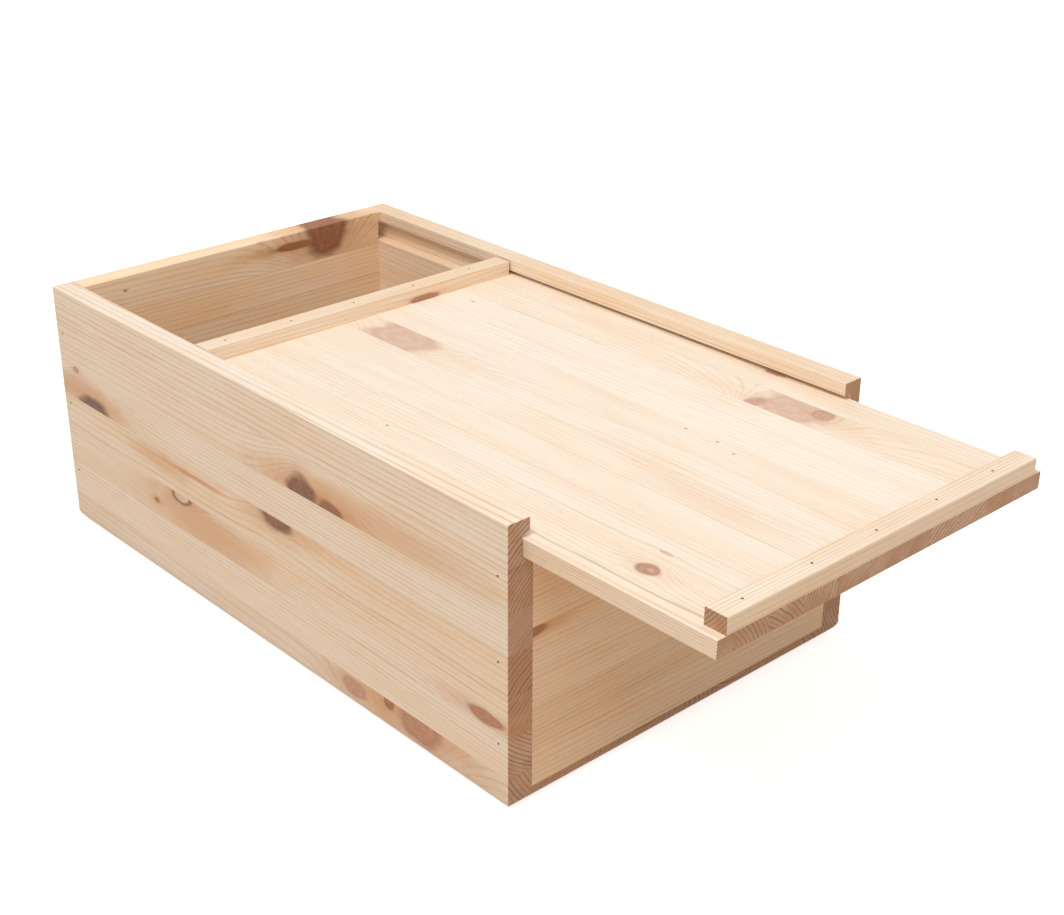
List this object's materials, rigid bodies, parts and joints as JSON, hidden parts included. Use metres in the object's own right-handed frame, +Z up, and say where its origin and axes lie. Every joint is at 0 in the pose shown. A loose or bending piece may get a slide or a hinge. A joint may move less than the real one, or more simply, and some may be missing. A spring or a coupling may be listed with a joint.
{
  "type": "sliding lid wooden box",
  "caption": "Raw pine box of edge-glued staves whose battened lid slides out along grooves in the two long sides, over a low front board.",
  "frame": {"origin": "centre of the box's underside, the lid left out", "axes": "+Z up; +X along the slide, the way the lid is drawn out; +Y across, towards the far side board"},
  "size_m": [0.462, 0.22, 0.138],
  "materials": {
    "side_pine": "raw sanded pine, side staves",
    "end_pine": "raw sanded pine, end board staves",
    "bottom_pine": "raw sanded pine, bottom staves",
    "lid_pine": "raw sanded pine, lid staves",
    "batten_pine": "raw sanded pine, battens",
    "brad_steel": "bright drawn steel wire, dulled"
  },
  "bodies": {
    "box": {"back_stave_1": "end_pine", "back_stave_2": "end_pine", "back_stave_3": "end_pine", "back_stave_4": "end_pine", "back_stave_5": "end_pine", "back_stave_6": "end_pine", "back_stave_7": "end_pine", "bottom_stave_1": "bottom_pine", "bottom_stave_2": "bottom_pine", "bottom_stave_3": "bottom_pine", "bottom_stave_4": "bottom_pine", "bottom_stave_5": "bottom_pine", "bottom_stave_6": "bottom_pine", "bottom_stave_7": "bottom_pine", "bottom_stave_8": "bottom_pine", "bottom_stave_9": "bottom_pine", "bottom_stave_10": "bottom_pine", "corner_brads": "brad_steel", "far_side_stave_1": "side_pine", "far_side_stave_2": "side_pine", "far_side_stave_3": "side_pine", "far_side_stave_4": "side_pine", "far_side_stave_5": "side_pine", "far_side_stave_6": "side_pine", "far_side_stave_7": "side_pine", "front_stave_1": "end_pine", "front_stave_2": "end_pine", "front_stave_3": "end_pine", "front_stave_4": "end_pine", "front_stave_5": "end_pine", "front_stave_6": "end_pine", "near_side_stave_1": "side_pine", "near_side_stave_2": "side_pine", "near_side_stave_3": "side_pine", "near_side_stave_4": "side_pine", "near_side_stave_5": "side_pine", "near_side_stave_6": "side_pine", "near_side_stave_7": "side_pine"},
    "lid": {"batten_brads": "brad_steel", "lid_front_batten": "batten_pine", "lid_rear_batten": "batten_pine", "lid_stave_1": "lid_pine", "lid_stave_2": "lid_pine", "lid_stave_3": "lid_pine", "lid_stave_4": "lid_pine", "lid_stave_5": "lid_pine", "lid_stave_6": "lid_pine", "lid_stave_7": "lid_pine", "lid_stave_8": "lid_pine", "lid_stave_9": "lid_pine", "lid_stave_10": "lid_pine", "lid_stave_11": "lid_pine"}
  },
  "joints": [
    {"name": "lid_slide", "type": "slide", "parent": "box", "child": "lid", "axis": [1, 0, 0], "range_m": [-0.102, 0.246]}
  ]
}
